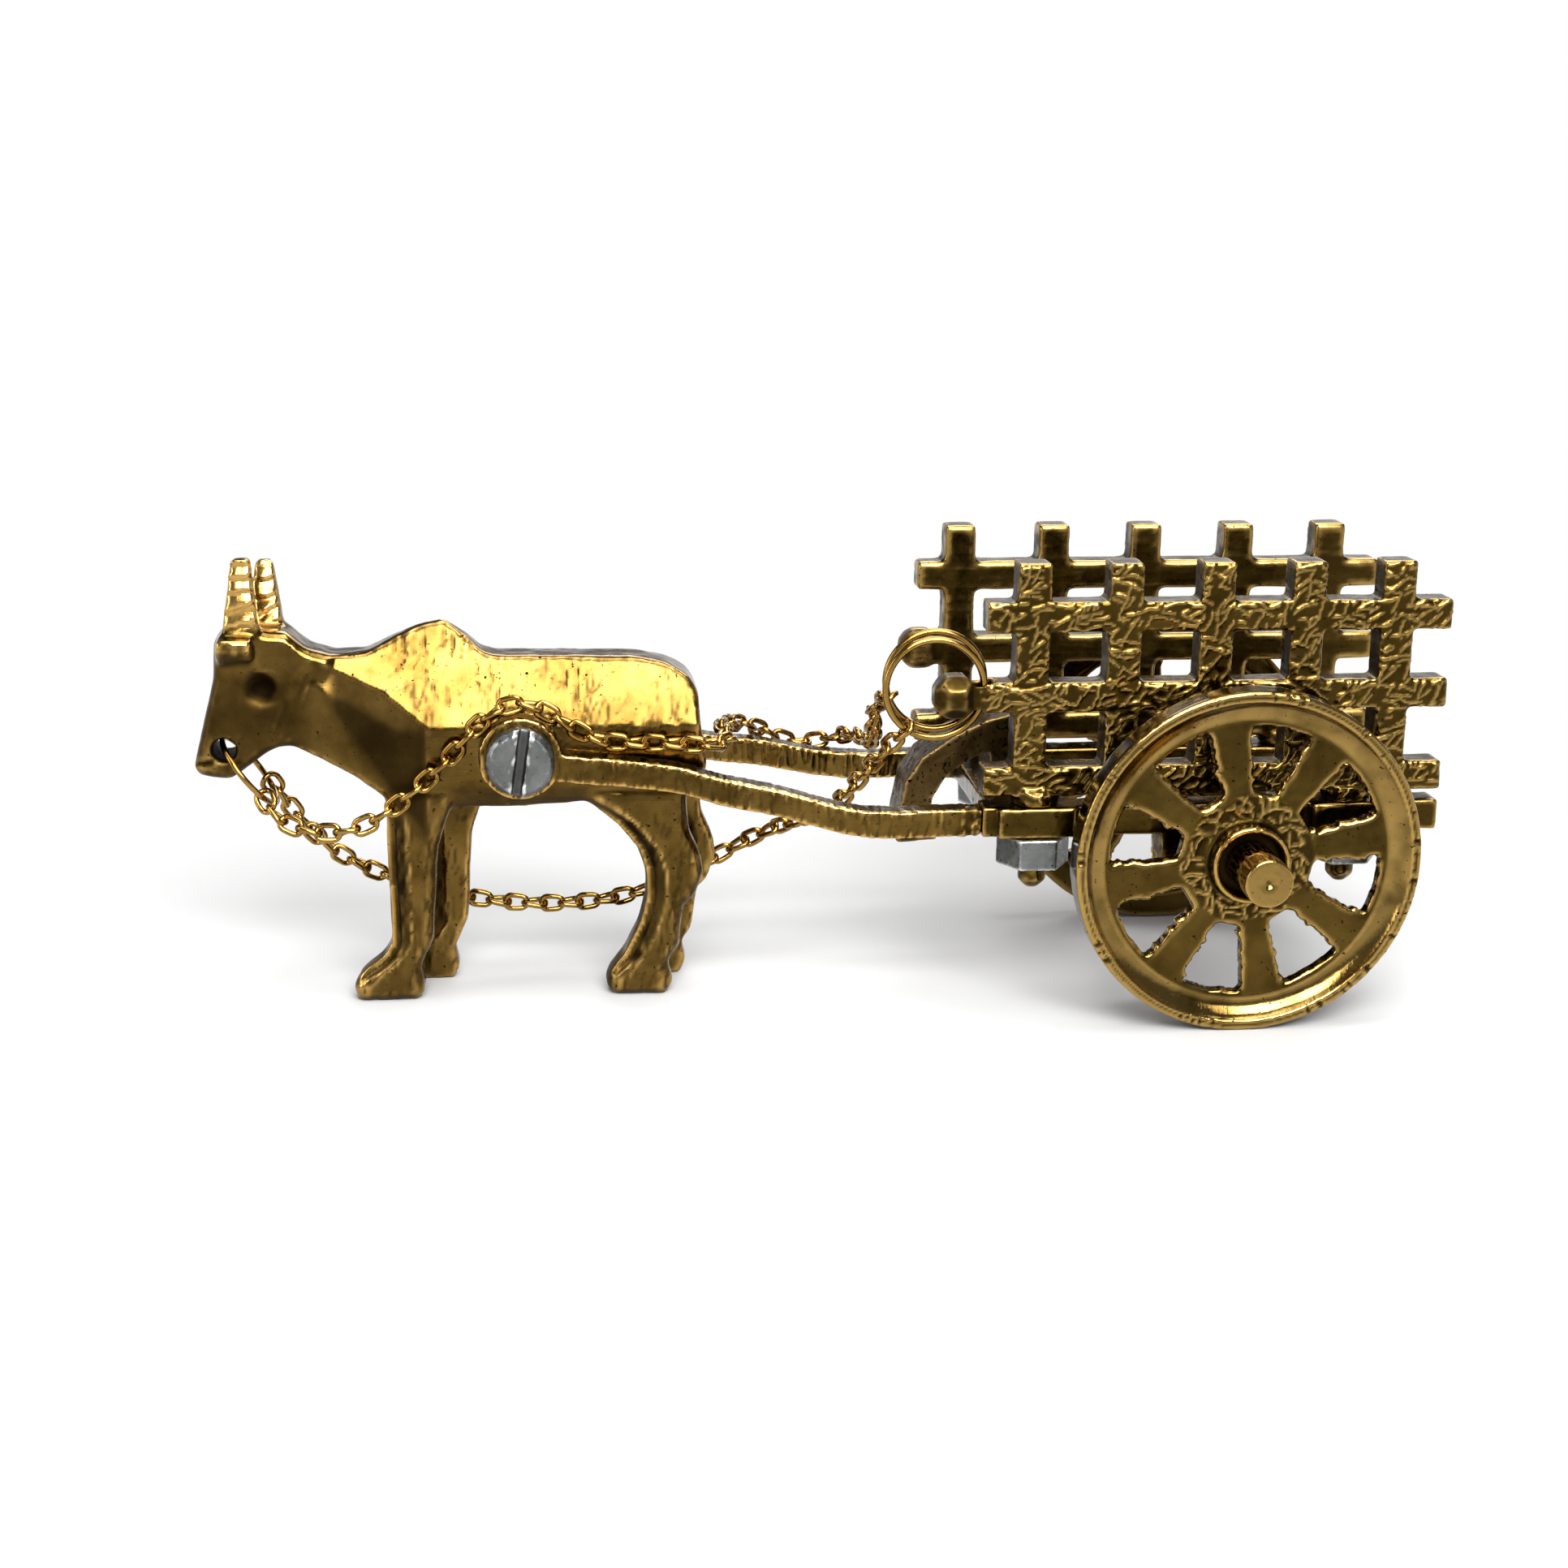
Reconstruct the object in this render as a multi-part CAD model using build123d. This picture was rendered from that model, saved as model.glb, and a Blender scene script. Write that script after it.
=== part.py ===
from build123d import *

import math
import os

os.makedirs("parts", exist_ok=True)

# A brass model bullock cart, in millimetres. While modelling, x runs from the muzzle (0) to the rear of
# the cart (LENGTH), y is 0 on the middle plane with the left side at -y, and z is 0 on the floor.
# place() then moves every node so that the origin is at the middle of the outline on the floor.
# Along x: the shaft screws (with their height), on to the front of the cart, and the cart itself
PIVOT = (31.2, 25.1)
SHAFT_RUN = 43.8
CART_L = 45.0
CART_FRONT = PIVOT[0] + SHAFT_RUN
LENGTH = CART_FRONT + CART_L

# Bullock
BODY_HALF = 5.0
BACK_HALF = 2.0
HEAD_HALF = 2.9
LEG_INNER = 1.5
LEG_EDGE = 0.8
HEAD_EDGE = 0.7
NECK_TAPER = (10.5, 19.5)
NOSE_HOLE = (3.0, 25.2)
NOSE_HOLE_R = 1.15
FAR_FORELEG_SHIFT = 3.2
FAR_HINDLEG_SHIFT = 1.7
EAR_XS = (2.7, 6.1)
EAR_OUT = 1.4
EAR_SINK = 0.3
EAR_FOOT_Z = 32.9
EAR_TOP_Z = 36.3
SOCKET = (6.7, 31.1)
SOCKET_R = 1.2
SOCKET_DEPTH = 0.7
HORNS = (
    # Base: x from, x to and y. Tip: x from, x to, y and z.
    (3.2, 6.8, -1.6, 4.5, 6.3, -2.5, 43.8),
    (5.2, 8.8, 1.6, 6.3, 7.9, 2.5, 42.8),
)
HORN_BASE_Z = 36.0
HORN_BASE_T = 2.4
HORN_TIP_T = 1.5

# Shafts and the screws that hold them to the bullock
EYE_R = 4.0
SHAFT_T = 2.6
SHAFT_H = 2.7
SCREW_SHANK_R = 1.6
SCREW_HEAD_R = 3.3
SCREW_HEAD_H = 2.0
SCREW_DEPTH = 3.0
SCREW_SLOT = 1.0
SCREW_SLOT_DEPTH = 0.9
SCREW_EDGE = 0.5
SCREW_SIDES = 24
THREAD_CLEARANCE = 0.02

# Wheels and axle
WHEEL_R = 16.7
REAR_TO_AXLE = 20.4
WHEEL_X = LENGTH - REAR_TO_AXLE
WHEEL_OUT = 19.0
RIM_W = 3.2
RIM_LIP = 0.945 * WHEEL_R
RIM_INNER = 0.82 * WHEEL_R
DISC_T = 1.4
DISC_SET = 1.3
WINDOW_IN = 0.40 * WHEEL_R
WINDOW_OUT = 0.79 * WHEEL_R
SPOKE_W_IN = 2.9
SPOKE_W_OUT = 4.2
SPOKE_COUNT = 8
SPOKE_TURN = 10.0
RIM_SIDES = 40
HUB_SIDES = 24
HUB_R = 3.8
HUB_PROUD = 0.7
HUB_OUT = WHEEL_OUT + HUB_PROUD
RECESS_R = 3.2
RECESS_DEPTH = 1.6
AXLE_R = 1.5
BEARING_CLEARANCE = 0.06
SIDE_PLAY = 0.3
AXLE_END_R = 2.3
AXLE_END_L = 5.6
AXLE_END_OUT = HUB_OUT + AXLE_END_L

# Chassis, carried on the axle
CHASSIS_RISE = 4.2
CHASSIS_TOP = WHEEL_R + CHASSIS_RISE
CHASSIS_H = 3.0
CHASSIS_W = 3.2
CROSS_BARS = ((CART_FRONT + 1.0, CART_FRONT + 5.0), (LENGTH - 6.5, LENGTH - 2.0))
CROSS_BAR_DROP = 0.4
PAD_L = 7.6
PAD_OUT = 0.8
HANGER_LENGTH = 14.0
HANGER_FOOT = 9.0
HANGER_BOTTOM = WHEEL_R - 4.4
HANGER_SHOULDER = WHEEL_R - 1.2

# Side panels, bolted to the chassis by two studs each
PANEL_OUT = 12.5
PANEL_T = 3.2
RAIL_H = 2.9
RAIL_BOTTOMS = (CHASSIS_TOP + 1.0, CHASSIS_TOP + 9.2, CHASSIS_TOP + 16.9)
POST_W = 3.2
POST_COUNT = 5
POST_RISE = 3.7
POST_TOP = RAIL_BOTTOMS[-1] + RAIL_H + POST_RISE
FIRST_POST = 4.4
LAST_POST = 5.4
KNOB_X = CART_FRONT - 2.8
KNOB_R = 2.1
RING_SLOT_X = CART_FRONT - 0.4
RING_SLOT = (2.4, 2.2)
STUD_XS = (CART_FRONT + 5.3, LENGTH - 9.0)
STUD_R = 1.4
STUD_POINT = 0.8
STUD_TIP = WHEEL_R - 4.2
FOOT_R = 2.4
NUT_FLATS = 6.2
NUT_H = 3.0
PANEL_FRONTS = {"left": CART_FRONT, "right": CART_FRONT - 3.3}

# Rings and chain
RING_MEAN_R = 4.7
RING_WIRE_R = 0.35
RING_SIDES = 28
RINGS = (
    # x, y, z of the middle, and the turn about z in degrees
    (CART_FRONT - 4.75, -11.65, CHASSIS_TOP + 11.5, 0.0),
    (CART_FRONT - 4.55, -10.15, CHASSIS_TOP + 12.0, 0.0),
)
LINK_PITCH = 1.85
LINK_WIRE = 0.42
LINK_PLAY = 0.14
LINK_WIDTH = 1.7
END_LINK_WIDTH = 2.0

ROD_SIDES = 12

LEFT, RIGHT = -1, 1


def place(shape):
    return Pos(-LENGTH / 2, 0, 0) * shape


def save(name, shape):
    export_step(place(shape), f"parts/{name}.step")


def side_plate(points, y_from, y_to):
    """A closed outline in x and z, made solid from y_from to y_to."""
    face = make_face(Plane.XZ * Polyline(*points, close=True))
    return Pos(0, y_to, 0) * extrude(face, amount=y_to - y_from, dir=(0, -1, 0))


def prism_y(x, z, radius, sides, y0, y1):
    """A bar of many flats along y; radius is to the corners."""
    points = [math.tau * k / sides for k in range(sides)]
    return side_plate([(x + radius * math.cos(a), z + radius * math.sin(a)) for a in points], y0, y1)


def box(x0, x1, y0, y1, z0, z1):
    return Pos((x0 + x1) / 2, (y0 + y1) / 2, (z0 + z1) / 2) * Box(x1 - x0, y1 - y0, z1 - z0)


def rod_y(x, z, radius, y0, y1):
    return Pos(x, (y0 + y1) / 2, z) * Rot(90, 0, 0) * Cylinder(radius, abs(y1 - y0))


def prism_z(x, y, radius, z0, z1):
    """A standing bar of ROD_SIDES flats; radius is to the corners."""
    return Pos(x, y, z0) * extrude(RegularPolygon(radius, ROD_SIDES), amount=z1 - z0)


def knob(x, y, z, radius):
    """A ball in flats: one eight-sided bar along each axis, and what they share."""
    bar = extrude(RegularPolygon(radius, 8, major_radius=False, rotation=22.5), amount=radius, both=True)
    return Pos(x, y, z) * (bar & Rot(90, 0, 0) * bar & Rot(0, 90, 0) * bar)


def ring(mean_radius, wire_radius):
    """A flat-sided ring round z."""
    outer = RegularPolygon(mean_radius + wire_radius, RING_SIDES)
    inner = RegularPolygon(mean_radius - wire_radius, RING_SIDES)
    return Pos(0, 0, -wire_radius) * extrude(outer - inner, amount=2 * wire_radius)


def handed(side, shape):
    """The left-hand shape as it is, or its mirror image for the right-hand side."""
    return shape if side == LEFT else mirror(shape, about=Plane.XZ)


# Bullock
TRUNK = [
    (9.8, 25.3), (12.0, 24.3), (15.5, 22.6), (18.3, 20.5), (25.1, 19.3), (31.6, 19.3), (37.2, 19.7),
    (46.8, 19.9), (49.3, 23.2), (48.7, 27.0), (48.5, 30.4), (47.6, 31.9), (45.4, 33.2), (42.3, 33.8),
    (28.9, 34.0), (27.7, 34.4), (26.1, 35.9), (24.1, 37.4), (21.9, 36.9), (19.4, 35.8), (16.6, 34.4),
    (13.6, 34.2), (11.2, 34.9),
]
HEAD = [
    (0.0, 23.4), (1.1, 27.8), (2.2, 32.1), (2.4, 36.0), (6.1, 36.7), (9.2, 36.6), (11.2, 34.9), (13.6, 34.2),
    (15.5, 22.6), (12.0, 24.3), (9.8, 25.3), (8.3, 25.3), (6.9, 24.7), (4.9, 23.1), (3.4, 22.1), (0.5, 22.6),
]
FORELEG = [
    (18.2, 21.5), (18.2, 15.4), (18.4, 6.0), (17.5, 4.6), (15.4, 2.9), (14.6, 1.4), (15.0, 0.0), (21.0, 0.0),
    (21.6, 1.2), (21.2, 3.4), (22.5, 6.2), (23.1, 15.3), (25.1, 21.5),
]
HINDLEG = [
    (37.6, 21.5), (37.6, 19.9), (40.4, 17.7), (42.5, 15.1), (43.3, 12.8), (43.3, 10.2), (42.7, 7.6),
    (41.2, 4.4), (39.7, 2.5), (39.3, 1.2), (39.9, 0.0), (45.2, 0.0), (46.0, 1.3), (45.4, 3.3), (46.5, 4.7),
    (47.0, 9.2), (48.0, 9.9), (48.9, 12.4), (48.7, 14.1), (47.5, 16.9), (47.2, 21.5),
]
SECTION = [
    (0.15, 38.0), (BACK_HALF, 34.0), (BODY_HALF, 27.4), (BODY_HALF, 21.9), (3.4, 19.0),
]


def moved(points, shift):
    return [(x + shift, z) for x, z in points]


def horn(x0, x1, y, tip_x0, tip_x1, tip_y, tip_z):
    """A four-sided horn that narrows to its tip."""
    low = Pos((x0 + x1) / 2, y, HORN_BASE_Z) * Rectangle(x1 - x0, HORN_BASE_T)
    high = Pos((tip_x0 + tip_x1) / 2, tip_y, tip_z) * Rectangle(tip_x1 - tip_x0, HORN_TIP_T)
    return loft([low.face(), high.face()])


section = [(y, z) for y, z in SECTION] + [(-y, z) for y, z in reversed(SECTION)]
section_face = make_face(Plane.YZ * Polyline(*section, close=True))
trunk = side_plate(TRUNK, -BODY_HALF, BODY_HALF) & extrude(section_face, amount=60, dir=(1, 0, 0))
neck = [(0, HEAD_HALF), (NECK_TAPER[0], HEAD_HALF), (NECK_TAPER[1], BODY_HALF), (60, BODY_HALF)]
neck += [(x, -y) for x, y in reversed(neck)]
trunk &= extrude(make_face(Polyline(*neck, close=True)), amount=60, dir=(0, 0, 1))


def eased_plate(points, y_from, y_to, edge, outer):
    """A plate whose outline is chamfered on the outer faces named by outer (-1 or 1)."""
    plate = side_plate(points, y_from, y_to)
    for way in outer:
        face = plate.faces().sort_by(Axis.Y)[0 if way < 0 else -1]
        plate = chamfer(face.edges(), edge)
    return plate


bullock = trunk + eased_plate(HEAD, -HEAD_HALF, HEAD_HALF, HEAD_EDGE, (LEFT, RIGHT))
LEGS = (
    # Outline, shift along x, and side
    (FORELEG, 0.0, LEFT),
    (FORELEG, FAR_FORELEG_SHIFT, RIGHT),
    (HINDLEG, 0.0, LEFT),
    (HINDLEG, FAR_HINDLEG_SHIFT, RIGHT),
)
for outline, shift, side in LEGS:
    y_in, y_out = sorted((side * LEG_INNER, side * BODY_HALF))
    bullock += eased_plate(moved(outline, shift), y_in, y_out, LEG_EDGE, (side,))
for row in HORNS:
    bullock += horn(*row)
for side in (LEFT, RIGHT):
    inner, outer = side * (HEAD_HALF - EAR_SINK), side * (HEAD_HALF + EAR_OUT)
    ear = [(inner, EAR_FOOT_Z), (outer, EAR_TOP_Z - EAR_OUT), (outer, EAR_TOP_Z), (inner, EAR_TOP_Z)]
    ear_face = make_face(Plane.YZ * Polyline(*ear, close=True))
    bullock += Pos(EAR_XS[0], 0, 0) * extrude(ear_face, amount=EAR_XS[1] - EAR_XS[0], dir=(1, 0, 0))
    y_in, y_out = sorted((side * (HEAD_HALF - SOCKET_DEPTH), side * BODY_HALF))
    bullock -= prism_y(*SOCKET, SOCKET_R, ROD_SIDES, y_in, y_out)
    y_in, y_out = sorted((side * BODY_HALF, side * (BODY_HALF - SCREW_DEPTH)))
    bullock -= prism_y(*PIVOT, SCREW_SHANK_R, ROD_SIDES, y_in, y_out)
bullock -= prism_y(*NOSE_HOLE, NOSE_HOLE_R, ROD_SIDES, -HEAD_HALF - 1, HEAD_HALF + 1)
save("bullock", bullock)

# Shafts: the curve seen from the side, cut to the plan seen from above
SHAFT_LINE = [
    # Share of the way from the pivot to the cart, and share of the drop still to go
    (0.055, 0.855), (0.142, 0.774), (0.295, 0.694), (0.347, 0.645), (0.436, 0.468), (0.562, 0.306),
    (0.687, 0.065), (0.756, -0.016), (0.822, -0.032), (1.02, 0.0),
]
SHAFT_BENDS = (0.18, 0.726)
shaft_end_z = CHASSIS_TOP - CHASSIS_H / 2
shaft_line = [
    (PIVOT[0] + run * SHAFT_RUN, shaft_end_z + rise * (PIVOT[1] - shaft_end_z)) for run, rise in SHAFT_LINE
]
shaft_top = [(x, z + SHAFT_H / 2) for x, z in shaft_line]
shaft_bottom = [(x, z - SHAFT_H / 2) for x, z in shaft_line]
shaft = side_plate(shaft_top + shaft_bottom[::-1], -PANEL_OUT, -BODY_HALF + 1)
shaft += rod_y(*PIVOT, EYE_R, -PANEL_OUT, -BODY_HALF + 1)
shaft_rear = PANEL_OUT - 0.1
bend_front, bend_rear = [PIVOT[0] + share * SHAFT_RUN for share in SHAFT_BENDS]
inner_edge = [
    (PIVOT[0] - EYE_R - 1, -BODY_HALF), (bend_front, -BODY_HALF), (bend_rear, -shaft_rear + SHAFT_T),
    (CART_FRONT, -shaft_rear + SHAFT_T),
]
plan = inner_edge + [(x, y - SHAFT_T) for x, y in reversed(inner_edge)]
shaft &= extrude(make_face(Polyline(*plan, close=True)), amount=2 * PIVOT[1], dir=(0, 0, 1))
shaft -= prism_y(*PIVOT, SCREW_SHANK_R + THREAD_CLEARANCE, ROD_SIDES, -PANEL_OUT, 0)

screw_seat = BODY_HALF + SHAFT_T
screw = prism_y(*PIVOT, SCREW_HEAD_R, SCREW_SIDES, -screw_seat - SCREW_HEAD_H, -screw_seat)
screw = chamfer(screw.faces().sort_by(Axis.Y)[0].edges(), SCREW_EDGE)
shank_end = -BODY_HALF + SCREW_DEPTH - 0.1
screw += prism_y(*PIVOT, SCREW_SHANK_R - THREAD_CLEARANCE, ROD_SIDES, -screw_seat, shank_end)
slot = Rot(0, 8, 0) * Box(SCREW_SLOT, 2 * SCREW_SLOT_DEPTH, 3 * SCREW_HEAD_R)
screw -= Pos(PIVOT[0], -screw_seat - SCREW_HEAD_H, PIVOT[1]) * slot

# Chassis: two rails with pads at the nuts, two cross-bars and the two axle hangers
chassis_bottom = CHASSIS_TOP - CHASSIS_H
rail_mid = PANEL_OUT - PANEL_T / 2
rail_in, rail_out = rail_mid - CHASSIS_W / 2, rail_mid + CHASSIS_W / 2
chassis = None
for side in (LEFT, RIGHT):
    y0, y1 = sorted((side * rail_in, side * rail_out))
    rail = box(CART_FRONT, LENGTH, y0, y1, chassis_bottom, CHASSIS_TOP)
    for x in STUD_XS:
        rail += box(x - PAD_L / 2, x + PAD_L / 2, y0 - PAD_OUT, y1 + PAD_OUT, chassis_bottom, CHASSIS_TOP)
    hanger = [
        (WHEEL_X - HANGER_LENGTH / 2, chassis_bottom), (WHEEL_X - HANGER_LENGTH / 2, HANGER_SHOULDER),
        (WHEEL_X - HANGER_FOOT / 2, HANGER_BOTTOM), (WHEEL_X + HANGER_FOOT / 2, HANGER_BOTTOM),
        (WHEEL_X + HANGER_LENGTH / 2, HANGER_SHOULDER), (WHEEL_X + HANGER_LENGTH / 2, chassis_bottom),
    ]
    rail += side_plate(hanger, y0, y1)
    chassis = rail if chassis is None else chassis + rail
for x0, x1 in CROSS_BARS:
    chassis += box(x0, x1, -rail_in, rail_in, chassis_bottom, CHASSIS_TOP - CROSS_BAR_DROP)
for side in (LEFT, RIGHT):
    for x in STUD_XS:
        chassis -= prism_z(x, side * rail_mid, STUD_R + 0.1, chassis_bottom - 1, CHASSIS_TOP + 1)
chassis -= rod_y(WHEEL_X, WHEEL_R, AXLE_R, -rail_out - 1, rail_out + 1)
save("chassis", chassis)

# Side panels: the right one reaches a little further forward and has no slot for the rings
knob_z = RAIL_BOTTOMS[1] + RAIL_H / 2


def side_panel(front, slotted):
    y0, y1 = -PANEL_OUT, -PANEL_OUT + PANEL_T
    panel = box(KNOB_X + 1.0, LENGTH - 1, y0 + 0.3, y1 - 0.3, knob_z - 1.3, knob_z + 1.3)
    panel += knob(KNOB_X, -rail_mid, knob_z, KNOB_R)
    for bottom in RAIL_BOTTOMS:
        panel += box(front, LENGTH, y0, y1, bottom, bottom + RAIL_H)
    post_pitch = (LENGTH - LAST_POST - front - FIRST_POST) / (POST_COUNT - 1)
    for k in range(POST_COUNT):
        x = front + FIRST_POST + k * post_pitch
        panel += box(x - POST_W / 2, x + POST_W / 2, y0, y1, RAIL_BOTTOMS[0], POST_TOP)
    if slotted:
        panel -= Pos(RING_SLOT_X, -rail_mid, knob_z) * Box(RING_SLOT[0], RING_SLOT[1], 3 * RAIL_H)
    for x in STUD_XS:
        panel += prism_z(x, -rail_mid, FOOT_R, CHASSIS_TOP, RAIL_BOTTOMS[0] + 0.5)
        stud = prism_z(x, -rail_mid, STUD_R, STUD_TIP, CHASSIS_TOP)
        panel += chamfer(stud.faces().sort_by(Axis.Z)[0].edges(), STUD_POINT)
    return panel


nuts = None
for x in STUD_XS:
    hexagon = extrude(RegularPolygon(NUT_FLATS / 2, 6, major_radius=False), amount=NUT_H)
    nut = Pos(x, -rail_mid, chassis_bottom - NUT_H) * hexagon
    nut -= prism_z(x, -rail_mid, STUD_R + THREAD_CLEARANCE, 0, CHASSIS_TOP)
    nuts = nut if nuts is None else nuts + nut

for side, word in ((LEFT, "left"), (RIGHT, "right")):
    save(f"shaft_{word}", handed(side, shaft))
    save(f"screw_{word}", handed(side, screw))
    save(f"side_panel_{word}", handed(side, side_panel(PANEL_FRONTS[word], side == LEFT)))
    save(f"nuts_{word}", handed(side, nuts))

# Curved bracket at the front, standing on the front cross-bar between the shafts; its points are measured
# from the front of the cart and the top of the cross-bar
BRACKET_HALF = 3.0
BRACKET_OUTER = [(5.0, 7.4), (2.0, 6.6), (-1.0, 5.2), (-4.4, 2.9), (-6.0, 0.4), (-6.7, -3.0), (-6.8, -5.8)]
BRACKET_INNER = [(5.0, 4.0), (2.6, 3.6), (0.4, 2.6), (-2.0, 0.8), (-3.2, -1.2), (-3.4, -3.4), (-2.6, -5.6)]
BRACKET_LEG = 2.6
bar_top = CHASSIS_TOP - CROSS_BAR_DROP
outer, inner = [[(CART_FRONT + x, bar_top + z) for x, z in edge] for edge in (BRACKET_OUTER, BRACKET_INNER)]
bracket = side_plate(outer + inner[::-1], -BRACKET_HALF, BRACKET_HALF)
leg_rear, leg_top = inner[0]
bracket += box(leg_rear - BRACKET_LEG, leg_rear, -BRACKET_HALF, BRACKET_HALF, bar_top, leg_top + 1)
save("front_bracket", bracket)

# Axle with its end knobs
axle = rod_y(WHEEL_X, WHEEL_R, AXLE_R, -AXLE_END_OUT, AXLE_END_OUT)
knob_in = HUB_OUT - RECESS_DEPTH + SIDE_PLAY
for side in (LEFT, RIGHT):
    y0, y1 = sorted((side * knob_in, side * AXLE_END_OUT))
    axle += rod_y(WHEEL_X, WHEEL_R, AXLE_END_R, y0, y1)
save("axle", axle)

# Wheels
disc_out = WHEEL_OUT - DISC_SET
disc_in = disc_out - DISC_T
hub_in = rail_out + SIDE_PLAY


def round_window(turn):
    """One opening between two spokes, right through the wheel."""
    half = 180 / SPOKE_COUNT
    inner = half - math.degrees(math.asin(SPOKE_W_IN / 2 / WINDOW_IN))
    outer = half - math.degrees(math.asin(SPOKE_W_OUT / 2 / WINDOW_OUT))
    corners = [(WINDOW_IN, -inner), (WINDOW_IN, inner)]
    corners += [(WINDOW_OUT, outer), (WINDOW_OUT, 0), (WINDOW_OUT, -outer)]
    points = [(r, math.radians(turn + a)) for r, a in corners]
    outline = [(WHEEL_X + r * math.cos(a), WHEEL_R + r * math.sin(a)) for r, a in points]
    return side_plate(outline, -2 * WHEEL_OUT, 0)


def wheel_prism(radius, sides, y0, y1):
    return prism_y(WHEEL_X, WHEEL_R, radius, sides, -y1, -y0)


wheel = rod_y(WHEEL_X, WHEEL_R, WHEEL_R, -WHEEL_OUT, RIM_W - WHEEL_OUT)
wheel -= wheel_prism(RIM_INNER, RIM_SIDES, 0, 2 * WHEEL_OUT)
dish = Rot(90, 0, 0) * Cone(RIM_INNER, RIM_LIP, DISC_SET)
wheel -= Pos(WHEEL_X, -(disc_out + WHEEL_OUT) / 2, WHEEL_R) * dish
wheel += wheel_prism(RIM_INNER + 0.2, RIM_SIDES, disc_in, disc_out)
wheel += wheel_prism(HUB_R, HUB_SIDES, hub_in, HUB_OUT)
wheel -= wheel_prism(RECESS_R, HUB_SIDES, HUB_OUT - RECESS_DEPTH, 2 * WHEEL_OUT)
wheel -= rod_y(WHEEL_X, WHEEL_R, AXLE_R + BEARING_CLEARANCE, -2 * WHEEL_OUT, 0)
for k in range(SPOKE_COUNT):
    wheel -= round_window(SPOKE_TURN + (k + 0.5) * 360 / SPOKE_COUNT)
for side, word in ((LEFT, "left"), (RIGHT, "right")):
    save(f"wheel_{word}", handed(side, wheel))

# Two rings in the slot of the left panel's knob, and one through the nose
rings = None
for x, y, z, turn in RINGS:
    wire = Pos(x, y, z) * Rot(0, 0, turn) * Rot(90, 0, 0) * ring(RING_MEAN_R, RING_WIRE_R)
    rings = wire if rings is None else rings + wire
save("rein_rings", rings)

NOSE_RING_R = 4.0
NOSE_WIRE_R = 0.3
NOSE_RING_MIDDLE = (5.06, 0.0, 22.5)
NOSE_RING_AXIS = (0.79, 0.0, 0.61)
save("nose_ring", Plane(origin=NOSE_RING_MIDDLE, z_dir=NOSE_RING_AXIS) * ring(NOSE_RING_R, NOSE_WIRE_R))

# Rein chains: flat-sided links at an even pitch along a route, each turned a quarter from the last. The
# routes are the middles of the links; the stretch past the rump is measured back from the cart's front.
LEFT_REIN = [
    (6.84, -3.22, 20.24), (9.0, -4.9, 18.4), (12.5, -5.8, 17.7), (15.6, -6.1, 18.2), (18.7, -6.1, 19.9),
    (21.8, -6.1, 22.4), (25.0, -6.1, 25.6), (27.7, -6.3, 28.6), (31.2, -6.3, 30.2), (34.8, -6.3, 28.8),
    (38.6, -6.3, 26.7), (43.6, -6.3, 26.2), (47.6, -6.4, 26.0), (49.7, -6.2, 25.9), (51.0, -4.6, 25.9),
    (51.2, 0.0, 25.8), (51.7, 5.0, 25.2), (53.4, 9.2, 24.2), (CART_FRONT - 18.6, 12.3, 22.6),
    (CART_FRONT - 15.0, 13.7, 21.0), (CART_FRONT - 12.0, 13.3, CHASSIS_TOP + 0.5),
    (CART_FRONT - 10.0, 10.6, CHASSIS_TOP + 1.6), (CART_FRONT - 8.9, 5.0, CHASSIS_TOP + 2.4),
    (CART_FRONT - 9.2, -2.4, CHASSIS_TOP + 5.2), (CART_FRONT - 9.7, -6.4, CHASSIS_TOP + 8.4),
    (CART_FRONT - 9.35, -8.1, CHASSIS_TOP + 9.6), (CART_FRONT - 9.03, -9.8, CHASSIS_TOP + 10.26),
]
RIGHT_REIN = [
    (6.84, 3.22, 20.24), (8.6, 4.6, 17.2), (11.5, 5.6, 13.4), (17.1, 6.3, 9.8), (25.1, 6.5, 7.2),
    (35.0, 6.5, 6.2), (43.7, 6.6, 7.4), (50.0, 6.8, 10.2), (CART_FRONT - 20.0, 6.4, 13.0),
    (CART_FRONT - 16.2, 3.4, 15.4), (CART_FRONT - 13.4, -1.0, 17.8),
    (CART_FRONT - 11.0, -6.4, CHASSIS_TOP + 1.6), (CART_FRONT - 8.9, -10.2, CHASSIS_TOP + 5.6),
    (CART_FRONT - 7.61, -11.51, CHASSIS_TOP + 7.44),
]


def link(width):
    half_length = (LINK_PITCH + 2 * LINK_WIRE + LINK_PLAY) / 2
    corner = LINK_WIRE
    quarter = [(half_length, width / 2 - corner), (half_length - corner, width / 2)]
    half = quarter + [(-x, y) for x, y in reversed(quarter)]
    outline = make_face(Polyline(*half, *[(-x, -y) for x, y in half], close=True))
    opening = Rectangle(2 * (half_length - LINK_WIRE), width - 2 * LINK_WIRE)
    return Pos(0, 0, -LINK_WIRE / 2) * extrude(outline - opening, amount=LINK_WIRE)


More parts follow.
